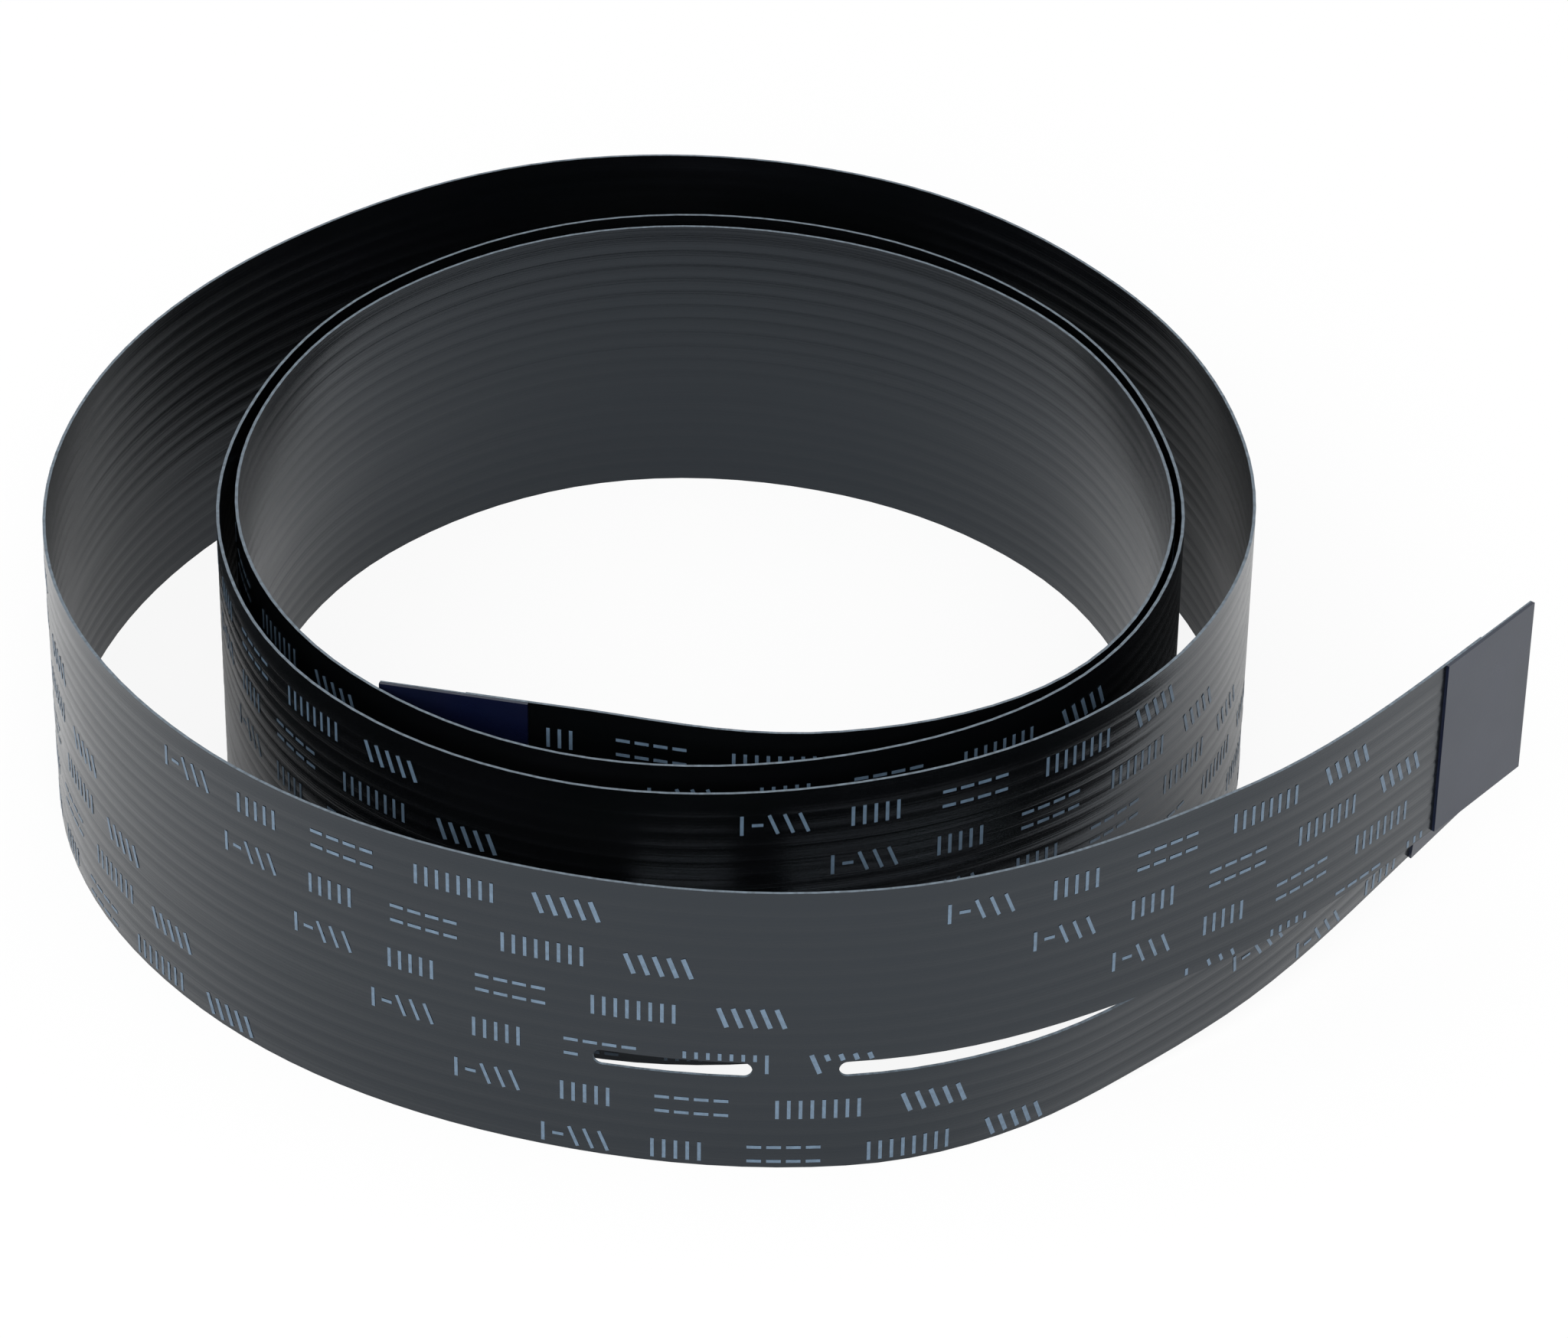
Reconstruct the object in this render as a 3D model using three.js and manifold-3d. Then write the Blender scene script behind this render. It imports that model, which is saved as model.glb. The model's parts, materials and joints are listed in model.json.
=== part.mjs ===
// Flat flexible cable: a laminated ribbon wound in a loose spiral and standing on its long edge.
// The ribbon's outer end is slit into a wide and a narrow tongue, and each of its three ends is a
// flat tab with a stiffener on its outer face and bare contacts on its inner face.
// Millimetres, +Z up. The resting edge is in the plane z = 0, under the middle of the whole part.

import * as THREE from "three";
import { mergeVertices } from "three/addons/utils/BufferGeometryUtils.js";
import Module from "manifold-3d";

// Ribbon: conductor places at an even pitch, the first a short way above the lower edge
const PITCH = 1.0;
const PLACE_COUNT = 18;
const FIRST_PLACE = 0.85;
const RIBBON_WIDTH = (PLACE_COUNT + 1) * PITCH;
const RIBBON_THICKNESS = 0.2;
const STATION_STEP = 2.2;

// Slots along the place that holds no conductor, counted from the lower edge
const EMPTY_PLACE = 7;
const SLOT_WIDTH = 1.0;
const SHORT_SLOT_LENGTH = 8.9;
const SLOT_BRIDGE = 4.8;
const TONGUE_LENGTH = 50.9;

// End tabs
const TAB_LENGTH = 8.7;
const STIFFENER_THICKNESS = 0.2;
const CONTACT_WIDTH = 0.7;
const CONTACT_LENGTH = 5.0;
const CONTACT_THICKNESS = 0.08;
const BOND = 0.005;

// Narrow tongue: tucked in behind the wide one, raised towards its end and leaning out at the top
const TUCK_CLEARANCE = 0.35;
const TUCK_SHARE = 0.4;
const TONGUE_RISE = 5.4;
const RISE_START_SHARE = 0.2;
const TONGUE_LEAN_DEG = 8.0;

// Winding: radius of the ribbon's middle plane at twelve bearings a turn, from the inner end
// outwards. Each later turn is given by its distance from the turn inside it, except where the
// second turn passes the tip of the inner tab: there it clears the tab's stiffener.
const FIRST_BEARING_DEG = 225;
const BEARING_STEP_DEG = 30;
const FIRST_TURN = [27.5, 25.0, 26.7, 28.2, 27.3, 26.7, 27.8, 29.2, 30.3, 29.7, 28.8, 28.8];
const TIP_CLEARANCE = 0.2;
const TURN_SPACING = [
  [4.5, 2.3, 0.7, 0.6, 0.6, 0.9, 1.4, 1.4, 1.1, 0.8, 1.3],
  [2.3, 2.6, 2.7, 3.0, 3.9, 4.8, 5.4, 7.0, 7.9, 8.3, 9.9, 10.1],
  [8.6, 8.1, 10.0, 10.7, 16.2, 32.5],
];
const INNER_TAB_BEARING_DEG = 246;
const OUTER_TAB_BEARING_DEG = 1416.5;
const BEARING_TABLE_STEP_DEG = 0.5;

const SLOT_MIDDLE = FIRST_PLACE + (EMPTY_PLACE - 1) * PITCH;
const NARROW_WIDTH = SLOT_MIDDLE - SLOT_WIDTH / 2;
const WIDE_BOTTOM = SLOT_MIDDLE + SLOT_WIDTH / 2;
const UP = new THREE.Vector3(0, 0, 1);

const wasm = await Module();
wasm.setup();

const colours = { film: 0x3c4146, tape: 0x1f2a4a, tin: 0xc9ccd0 };
const film = new THREE.MeshStandardMaterial({ color: colours.film, roughness: 0.4, metalness: 0 });
const tape = new THREE.MeshStandardMaterial({ color: colours.tape, roughness: 0.45, metalness: 0 });
const tin = new THREE.MeshStandardMaterial({ color: colours.tin, roughness: 0.35, metalness: 1 });

// A curve of radius against bearing, smooth through its values
function radiusCurve(radii) {
  return new THREE.SplineCurve(
    radii.map((radius, i) => new THREE.Vector2(FIRST_BEARING_DEG + i * BEARING_STEP_DEG, radius)),
  );
}

function pointOn(curve, bearing) {
  const span = (curve.points.length - 1) * BEARING_STEP_DEG;
  const radius = curve.getPoint((bearing - FIRST_BEARING_DEG) / span).y;
  const angle = THREE.MathUtils.degToRad(bearing);
  return new THREE.Vector3(radius * Math.cos(angle), radius * Math.sin(angle), 0);
}

function tangentOn(curve, bearing) {
  const reach = BEARING_TABLE_STEP_DEG / 2;
  return pointOn(curve, bearing + reach).sub(pointOn(curve, bearing - reach)).normalize();
}

function tipRadius() {
  const curve = radiusCurve(FIRST_TURN);
  const tab = tangentOn(curve, INNER_TAB_BEARING_DEG).multiplyScalar(TAB_LENGTH);
  return pointOn(curve, INNER_TAB_BEARING_DEG).sub(tab).length();
}

const clearOfTip = tipRadius() + RIBBON_THICKNESS + STIFFENER_THICKNESS + TIP_CLEARANCE;
const radii = [...FIRST_TURN, clearOfTip];
for (const spacing of TURN_SPACING.flat()) radii.push(radii.at(-FIRST_TURN.length) + spacing);
const winding = radiusCurve(radii);

// Lengths along the winding, to find a bearing from a distance
const bearingTable = [{ bearing: INNER_TAB_BEARING_DEG, length: 0 }];
for (let at = INNER_TAB_BEARING_DEG; at < OUTER_TAB_BEARING_DEG; ) {
  const next = Math.min(at + BEARING_TABLE_STEP_DEG, OUTER_TAB_BEARING_DEG);
  const step = pointOn(winding, at).distanceTo(pointOn(winding, next));
  bearingTable.push({ bearing: next, length: bearingTable.at(-1).length + step });
  at = next;
}
const WOUND_LENGTH = bearingTable.at(-1).length;
const RIBBON_LENGTH = WOUND_LENGTH + 2 * TAB_LENGTH;
const SLIT_START = RIBBON_LENGTH - TONGUE_LENGTH + SLOT_WIDTH / 2;

function bearingAt(length) {
  const after = Math.max(1, bearingTable.findIndex((row) => row.length >= length));
  const low = bearingTable[after - 1];
  const high = bearingTable[after];
  const share = (length - low.length) / (high.length - low.length);
  return THREE.MathUtils.lerp(low.bearing, high.bearing, share);
}

// A frame stands on the path's middle line: along the ribbon, across it upwards, and out of its
// outer face. The distance is measured along the ribbon from its inner end.
function frameAt(distance) {
  const wound = THREE.MathUtils.clamp(distance - TAB_LENGTH, 0, WOUND_LENGTH);
  const bearing = bearingAt(wound);
  const along = tangentOn(winding, bearing);
  const straight = distance - TAB_LENGTH - wound;
  const foot = pointOn(winding, bearing).addScaledVector(along, straight);
  return { foot, along, across: UP.clone(), out: along.clone().cross(UP), width: RIBBON_WIDTH };
}

// The narrow tongue leaves the ribbon's plane over the first part of its length, and then rises.
function tongueShare(distance, start, end) {
  const share = (distance - SLIT_START) / (RIBBON_LENGTH - SLIT_START);
  return THREE.MathUtils.smoothstep(share, start, end);
}

function leanAt(distance) {
  return THREE.MathUtils.degToRad(TONGUE_LEAN_DEG) * tongueShare(distance, 0, TUCK_SHARE);
}

function narrowFoot(distance) {
  const { foot, out } = frameAt(distance);
  const lean = leanAt(distance);
  const clear = (TUCK_CLEARANCE + RIBBON_THICKNESS) * tongueShare(distance, 0, TUCK_SHARE);
  foot.addScaledVector(out, -clear - NARROW_WIDTH * Math.sin(lean));
  foot.z = TONGUE_RISE * tongueShare(distance, RISE_START_SHARE, 1);
  foot.z += (RIBBON_THICKNESS / 2) * Math.sin(lean);
  return foot;
}

function narrowFrame(distance) {
  const at = Math.min(distance, RIBBON_LENGTH - TAB_LENGTH);
  const reach = STATION_STEP / 4;
  const along = narrowFoot(at + reach).sub(narrowFoot(at - reach)).normalize();
  const level = along.clone().cross(UP).normalize();
  const across = level.clone().cross(along).normalize();
  across.applyAxisAngle(along, leanAt(at));
  const out = along.clone().cross(across);
  const foot = narrowFoot(at).addScaledVector(along, distance - at);
  return { foot, along, across, out, width: NARROW_WIDTH };
}

// Distances of the sections between two places, the ends included
function stations(start, end) {
  const count = Math.max(1, Math.round((end - start) / STATION_STEP));
  return Array.from({ length: count + 1 }, (_, i) => THREE.MathUtils.lerp(start, end, i / count));
}

// A closed strip through the frames, from one height across the ribbon to another.
function stripGeometry(frames, low, high, thickness = RIBBON_THICKNESS, offset = 0) {
  const corner = (frame, height, side) =>
    frame.foot
      .clone()
      .addScaledVector(frame.across, height)
      .addScaledVector(frame.out, offset + (side * thickness) / 2);
  const rings = frames.map((frame) => [
    corner(frame, low, 1),
    corner(frame, high, 1),
    corner(frame, high, -1),
    corner(frame, low, -1),
  ]);
  const faces = [0, 1, 2, 0, 2, 3];
  for (let ring = 0; ring < rings.length - 1; ring += 1) {
    for (let side = 0; side < 4; side += 1) {
      const a = ring * 4 + side;
      const b = ring * 4 + ((side + 1) % 4);
      faces.push(a, b + 4, b, a, a + 4, b + 4);
    }
  }
  const last = (rings.length - 1) * 4;
  faces.push(last, last + 2, last + 1, last, last + 3, last + 2);
  const geometry = new THREE.BufferGeometry().setFromPoints(rings.flat());
  geometry.setIndex(faces);
  return geometry;
}

function solidOf(geometry) {
  const bare = geometry.clone();
  bare.deleteAttribute("normal");
  bare.deleteAttribute("uv");
  const merged = mergeVertices(bare, 1e-5);
  const vertProperties = merged.getAttribute("position").array;
  const triVerts = new Uint32Array(merged.index.array);
  return new wasm.Manifold(new wasm.Mesh({ numProp: 3, vertProperties, triVerts }));
}

function geometryOf(solid) {
  const mesh = solid.getMesh();
  const geometry = new THREE.BufferGeometry();
  geometry.setAttribute("position", new THREE.BufferAttribute(mesh.vertProperties, 3));
  geometry.setIndex(new THREE.BufferAttribute(mesh.triVerts, 1));
  geometry.computeVertexNormals();
  return geometry;
}

// A slot with round ends, punched square through the ribbon
function slotCutter(start, end) {
  const radius = SLOT_WIDTH / 2;
  const half = (end - start) / 2 - radius;
  const outline = new THREE.Shape();
  outline.absarc(half, 0, radius, -Math.PI / 2, Math.PI / 2, false);
  outline.absarc(-half, 0, radius, Math.PI / 2, (3 * Math.PI) / 2, false);
  const depth = 20 * RIBBON_THICKNESS;
  const geometry = new THREE.ExtrudeGeometry(outline, {
    depth,
    bevelEnabled: false,
    curveSegments: 6,
  });
  geometry.translate(0, 0, -depth / 2);
  const { foot, along, across, out } = frameAt((start + end) / 2);
  const place = new THREE.Matrix4().makeBasis(along, across, out);
  place.setPosition(foot.clone().addScaledVector(across, SLOT_MIDDLE));
  return solidOf(geometry.applyMatrix4(place));
}

// One strip of the ribbon between two heights. On its tab, between the two distances given, the
// film is stripped from the inner face, and the contacts lie in its place.
function strip(distances, frame, low, high, bare) {
  const depth = CONTACT_THICKNESS + RIBBON_THICKNESS;
  const offset = -RIBBON_THICKNESS / 2 + CONTACT_THICKNESS - depth / 2;
  const cutter = stripGeometry(bare.map(frame), low - PITCH, high + PITCH, depth, offset);
  return solidOf(stripGeometry(distances.map(frame), low, high)).subtract(solidOf(cutter));
}

function ribbonGeometry() {
  const lap = SLIT_START - STATION_STEP;
  const outerTab = RIBBON_LENGTH - TAB_LENGTH;
  const main = [
    ...stations(0, TAB_LENGTH),
    ...stations(TAB_LENGTH, lap).slice(1),
    SLIT_START,
  ];
  const tongue = [
    lap,
    ...stations(SLIT_START, outerTab),
    ...stations(outerTab, RIBBON_LENGTH).slice(1),
  ];
  const narrow = (distance) => (distance > SLIT_START ? narrowFrame : frameAt)(distance);
  const innerBare = [-PITCH, CONTACT_LENGTH];
  const outerBare = [RIBBON_LENGTH - CONTACT_LENGTH, RIBBON_LENGTH + PITCH];
  const radius = SLOT_WIDTH / 2;
  const shortEnd = SLIT_START - radius - SLOT_BRIDGE;
  return geometryOf(
    strip(main, frameAt, 0, RIBBON_WIDTH, innerBare)
      .add(strip(tongue, frameAt, WIDE_BOTTOM, RIBBON_WIDTH, outerBare))
      .add(strip(tongue, narrow, 0, NARROW_WIDTH, outerBare))
      .subtract(slotCutter(shortEnd - SHORT_SLOT_LENGTH, shortEnd))
      .subtract(slotCutter(SLIT_START - radius, SLIT_START + 2 * radius)),
  );
}

function box(name, length, width, thickness, material) {
  const mesh = new THREE.Mesh(new THREE.BoxGeometry(length, width, thickness), material);
  mesh.name = name;
  return mesh;
}

// The pieces on one tab, in a group that stands at the tab's tip: X along the ribbon, Y across it,
// Z out of its outer face. The tab reaches back from the tip, towards +X or -X.
function tabGroup({ name, frame, tip, back, low, high }) {
  const group = new THREE.Group();
  const { foot, along, across, out } = frame(tip);
  group.position.copy(foot);
  group.quaternion.setFromRotationMatrix(new THREE.Matrix4().makeBasis(along, across, out));
  const cover = box("stiffener_" + name, TAB_LENGTH, high - low, STIFFENER_THICKNESS, tape);
  const coverOut = (RIBBON_THICKNESS + STIFFENER_THICKNESS) / 2 + BOND;
  cover.position.set((back * TAB_LENGTH) / 2, (low + high) / 2, coverOut);
  group.add(cover);
  const heights = Array.from({ length: PLACE_COUNT }, (_, i) => FIRST_PLACE + i * PITCH);
  heights.splice(EMPTY_PLACE - 1, 1);
  const own = heights.filter((height) => height > low && height < high);
  own.forEach((height, i) => {
    const label = "contact_" + name + "_" + String(i + 1).padStart(2, "0");
    const contact = box(label, CONTACT_LENGTH, CONTACT_WIDTH, CONTACT_THICKNESS, tin);
    const contactOut = (CONTACT_THICKNESS - RIBBON_THICKNESS) / 2 - BOND;
    contact.position.set((back * CONTACT_LENGTH) / 2, height, contactOut);
    group.add(contact);
  });
  return group;
}

const cable = new THREE.Group();
const ribbon = new THREE.Mesh(ribbonGeometry(), film);
ribbon.name = "ribbon";
cable.add(ribbon);
cable.add(
  tabGroup({ name: "inner", frame: frameAt, tip: 0, back: 1, low: 0, high: RIBBON_WIDTH }),
  tabGroup({
    name: "wide",
    frame: frameAt,
    tip: RIBBON_LENGTH,
    back: -1,
    low: WIDE_BOTTOM,
    high: RIBBON_WIDTH,
  }),
  tabGroup({
    name: "narrow",
    frame: narrowFrame,
    tip: RIBBON_LENGTH,
    back: -1,
    low: 0,
    high: NARROW_WIDTH,
  }),
);

// The origin goes under the middle of the whole part.
const bounds = new THREE.Box3().setFromObject(cable);
const middle = bounds.getCenter(new THREE.Vector3());
cable.position.set(-middle.x, -middle.y, 0);

export default cable;
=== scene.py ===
"""Looks of a flat flexible cable that lies in a loose coil on its long edge."""

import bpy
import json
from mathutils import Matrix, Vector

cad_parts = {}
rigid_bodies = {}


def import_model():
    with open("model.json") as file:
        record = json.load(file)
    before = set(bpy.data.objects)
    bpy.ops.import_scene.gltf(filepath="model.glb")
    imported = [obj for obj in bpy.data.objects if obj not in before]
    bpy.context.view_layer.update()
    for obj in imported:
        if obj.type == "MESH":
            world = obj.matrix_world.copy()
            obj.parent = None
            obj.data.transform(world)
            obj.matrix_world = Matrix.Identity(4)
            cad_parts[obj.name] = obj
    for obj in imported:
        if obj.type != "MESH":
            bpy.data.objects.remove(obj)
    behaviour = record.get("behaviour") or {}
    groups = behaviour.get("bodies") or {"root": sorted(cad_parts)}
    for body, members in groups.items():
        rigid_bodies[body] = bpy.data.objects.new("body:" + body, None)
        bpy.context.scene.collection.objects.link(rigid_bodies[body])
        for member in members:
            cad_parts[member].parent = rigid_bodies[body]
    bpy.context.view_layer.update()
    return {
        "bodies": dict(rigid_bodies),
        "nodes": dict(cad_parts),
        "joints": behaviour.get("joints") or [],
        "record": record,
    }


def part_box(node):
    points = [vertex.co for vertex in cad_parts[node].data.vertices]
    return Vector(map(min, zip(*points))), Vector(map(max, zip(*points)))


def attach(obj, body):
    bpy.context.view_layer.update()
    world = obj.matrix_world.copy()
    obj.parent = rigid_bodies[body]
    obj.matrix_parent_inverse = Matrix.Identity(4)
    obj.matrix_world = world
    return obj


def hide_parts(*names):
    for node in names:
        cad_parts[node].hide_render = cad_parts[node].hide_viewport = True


bl_info = {
    "name": "Flat flexible cable",
    "version": (1, 0, 0),
    "blender": (4, 5, 0),
    "location": "3D View > Sidebar > Flat Cable",
    "description": "A laminated ribbon in a loose coil, with its stiffeners, contacts, print and studio",
    "category": "Object",
}

import json
import math

import bmesh
import bpy
from mathutils import Matrix, Vector

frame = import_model()

BODY = "root"
MM = 0.001
UP = Vector((0, 0, 1))

# The winding's radius at twelve bearings a turn, in millimetres, from the inner end outwards. Each
# later turn is given by its distance from the turn inside it. The second turn's first radius clears
# the tip of the inner tab.
FIRST_BEARING = 225
BEARING_STEP = 30
FIRST_TURN = (27.5, 25.0, 26.7, 28.2, 27.3, 26.7, 27.8, 29.2, 30.3, 29.7, 28.8, 28.8)
TIP_CLEARANCE = 0.2
TURN_SPACING = (
    (4.5, 2.3, 0.7, 0.6, 0.6, 0.9, 1.4, 1.4, 1.1, 0.8, 1.3),
    (2.3, 2.6, 2.7, 3.0, 3.9, 4.8, 5.4, 7.0, 7.9, 8.3, 9.9, 10.1),
    (8.6, 8.1, 10.0, 10.7, 16.2, 32.5),
)
INNER_TAB_BEARING = 246
OUTER_TAB_BEARING = 1416.5
# Steps in degrees along the table of lengths, and in millimetres for the tongue's direction
TABLE_STEP = 0.5
TONGUE_REACH = 0.55


class RibbonSizes(bpy.types.PropertyGroup):
    """Sizes of the ribbon, in millimetres"""

    pitch: bpy.props.FloatProperty(
        name="Pitch", description="Distance from one conductor to the next", default=1.0)
    places: bpy.props.IntProperty(
        name="Places", description="Conductor places across the ribbon", default=18)
    first_place: bpy.props.FloatProperty(
        name="First place", description="Height of the lowest conductor's middle", default=0.85)
    empty_place: bpy.props.IntProperty(
        name="Empty place", description="The place that the slots run along", default=7)
    thickness: bpy.props.FloatProperty(
        name="Thickness", description="Thickness of the laminate over a conductor", default=0.2)
    valley: bpy.props.FloatProperty(
        name="Valley", description="Depth of the laminate between conductors, on each face", default=0.012)
    slot_width: bpy.props.FloatProperty(
        name="Slot width", description="Width of the slots", default=1.0)
    short_slot: bpy.props.FloatProperty(
        name="Short slot", description="Length of the closed slot", default=8.9)
    bridge: bpy.props.FloatProperty(
        name="Bridge", description="Length between the closed slot and the slit", default=4.8)
    tongue: bpy.props.FloatProperty(
        name="Tongue", description="Length of the slit and its two tongues", default=50.9)
    tab: bpy.props.FloatProperty(
        name="Tab", description="Length of each flat end tab", default=8.7)
    contact: bpy.props.FloatProperty(
        name="Contact", description="Length of the bare contacts", default=5.0)
    contact_thickness: bpy.props.FloatProperty(
        name="Contact thickness", description="Thickness of the bare contacts", default=0.08)
    stiffener_thickness: bpy.props.FloatProperty(
        name="Stiffener thickness", description="Thickness of the stiffeners", default=0.2)
    ridge_top: bpy.props.FloatProperty(
        name="Ridge top", description="Half the width of a conductor's flat top", default=0.3)
    ridge_foot: bpy.props.FloatProperty(
        name="Ridge foot", description="Half the width of a conductor's ridge at its foot", default=0.4)
    station: bpy.props.FloatProperty(
        name="Station", description="Distance between the sections of the ribbon", default=1.8)

    @property
    def width(self):
        return (self.places + 1) * self.pitch

    @property
    def slot_middle(self):
        return self.first_place + (self.empty_place - 1) * self.pitch

    @property
    def narrow_top(self):
        return self.slot_middle - self.slot_width / 2

    @property
    def wide_bottom(self):
        return self.slot_middle + self.slot_width / 2


class TongueSizes(bpy.types.PropertyGroup):
    """How the narrow tongue lies behind the wide one"""

    clearance: bpy.props.FloatProperty(
        name="Clearance", description="Gap between the tongues, in millimetres", default=0.35)
    tuck_share: bpy.props.FloatProperty(
        name="Tuck share", description="Share of the slit over which it moves in",
        default=0.4, min=0, max=1, subtype="FACTOR")
    rise: bpy.props.FloatProperty(
        name="Rise", description="Height that it gains towards its end, in millimetres", default=5.4)
    rise_start: bpy.props.FloatProperty(
        name="Rise start", description="Share of the slit at which it starts to rise",
        default=0.2, min=0, max=1, subtype="FACTOR")
    lean: bpy.props.FloatProperty(
        name="Lean", description="Angle that it leans out at the top",
        default=math.radians(8), subtype="ANGLE")


class MarkSizes(bpy.types.PropertyGroup):
    """Sizes of the printed marks, in millimetres"""

    height: bpy.props.FloatProperty(
        name="Height", description="Height of a mark", default=1.3)
    stroke: bpy.props.FloatProperty(
        name="Stroke", description="Width of a stroke", default=0.2)
    bold_stroke: bpy.props.FloatProperty(
        name="Bold stroke", description="Width of a stroke in the bold group", default=0.27)
    repeat: bpy.props.FloatProperty(
        name="Repeat", description="Distance from one line of marks to the next in a row", default=48.3)
    row_shift: bpy.props.FloatProperty(
        name="Row shift", description="How much further along each lower row starts", default=5.15)
    top_row: bpy.props.FloatProperty(
        name="Top row", description="Height of the top row's middle", default=16.8)
    row_pitch: bpy.props.FloatProperty(
        name="Row pitch", description="Distance from one row to the next", default=3.17)
    rows: bpy.props.IntProperty(
        name="Rows", description="Rows of marks across the ribbon", default=6)
    start: bpy.props.FloatProperty(
        name="Start", description="Distance from the inner end to a line's start, in the top row",
        default=31.3)
    share: bpy.props.FloatProperty(
        name="Share", description="Share of its place that a mark fills",
        default=0.78, min=0, max=1, subtype="FACTOR")
    lift: bpy.props.FloatProperty(
        name="Lift", description="Height of the ink's underside over the film", default=0.003)
    thickness: bpy.props.FloatProperty(
        name="Thickness", description="Thickness of the ink", default=0.01)
    margin: bpy.props.FloatProperty(
        name="Margin", description="Distance from a slot or a tab within which marks are cut", default=0.3)


class StudioSizes(bpy.types.PropertyGroup):
    """The camera and the light"""

    elevation: bpy.props.FloatProperty(
        name="Elevation", description="Angle of the camera above the floor",
        default=math.radians(34.5), subtype="ANGLE")
    roll: bpy.props.FloatProperty(
        name="Roll", description="Turn of the camera about its own axis",
        default=math.radians(0.92), subtype="ANGLE")
    distance: bpy.props.FloatProperty(
        name="Distance", description="Distance from the camera to what it looks at",
        default=0.38004, unit="LENGTH")
    aim: bpy.props.FloatVectorProperty(
        name="Aim", description="The point that the camera looks at",
        default=(0.00025, 0.009006, 0), unit="LENGTH")
    lens: bpy.props.FloatProperty(
        name="Lens", description="Focal length in millimetres, on a 36 mm sensor", default=139.74)
    floor: bpy.props.FloatProperty(
        name="Floor", description="Side of the floor", default=6, unit="LENGTH")
    softbox: bpy.props.FloatVectorProperty(
        name="Softbox", description="Where the softbox stands", default=(-0.15, -0.75, 0.55), unit="LENGTH")
    softbox_size: bpy.props.FloatVectorProperty(
        name="Softbox size", description="Width and height of the softbox", size=2,
        default=(0.9, 0.6), unit="LENGTH")
    softbox_power: bpy.props.FloatProperty(
        name="Softbox power", description="Power of the softbox in watts", default=8.5)
    sky: bpy.props.FloatProperty(
        name="Sky", description="Strength of the light from all round", default=0.75)
    floor_glow: bpy.props.FloatProperty(
        name="Floor glow", description="Share of plain white in the floor that the camera sees",
        default=0.9, min=0, max=1, subtype="FACTOR")
    floor_gloss: bpy.props.FloatProperty(
        name="Floor gloss", description="Share of that white which glossy surfaces see",
        default=0.15, min=0, max=1, subtype="FACTOR")


class CableColours(bpy.types.PropertyGroup):
    """Colours of the cable and its studio, as sRGB hex values"""

    film: bpy.props.StringProperty(
        name="Film", description="Black polyester laminate", default="#040506")
    # The slit edge's pale colour is a painted highlight, not the black film's own colour.
    edge_highlight: bpy.props.StringProperty(
        name="Film edge", description="Slit edge of the laminate", default="#6d7b87")
    tape: bpy.props.StringProperty(
        name="Tape", description="Navy polyester stiffener", default="#090f26")
    tin: bpy.props.StringProperty(
        name="Tin", description="Tinned copper contacts", default="#c8cbd0")
    ink: bpy.props.StringProperty(
        name="Ink", description="Pale blue marking ink", default="#586c7f")
    floor: bpy.props.StringProperty(
        name="Floor", description="Pale studio floor", default="#f4f4f4")


def linear(code):
    """An sRGB hex value as a linear colour."""
    parts = [int(code[i:i + 2], 16) / 255 for i in (1, 3, 5)]
    return tuple(p / 12.92 if p <= 0.04045 else ((p + 0.055) / 1.055) ** 2.4 for p in parts) + (1.0,)


def smooth(value, start, end):
    """A smooth step from 0 at start to 1 at end."""
    t = min(max((value - start) / (end - start), 0.0), 1.0)
    return t * t * (3 - 2 * t)


# The route of the ribbon, in millimetres about the middle of the coil

def radius_curve(radii, bearing):
    """The radius at a bearing, smooth through the values."""
    place = (bearing - FIRST_BEARING) / BEARING_STEP
    i = min(max(int(math.floor(place)), 0), len(radii) - 2)
    t = place - i
    last = len(radii) - 1
    a, b, c, d = (radii[min(max(k, 0), last)] for k in (i - 1, i, i + 1, i + 2))
    square, cube = 2 * a - 5 * b + 4 * c - d, 3 * b - a - 3 * c + d
    return (2 * b + (c - a) * t + square * t ** 2 + cube * t ** 3) / 2


def point_on(radii, bearing):
    angle = math.radians(bearing)
    radius = radius_curve(radii, bearing)
    return Vector((radius * math.cos(angle), radius * math.sin(angle), 0))


def tangent_on(radii, bearing):
    reach = TABLE_STEP / 2
    return (point_on(radii, bearing + reach) - point_on(radii, bearing - reach)).normalized()


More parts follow.
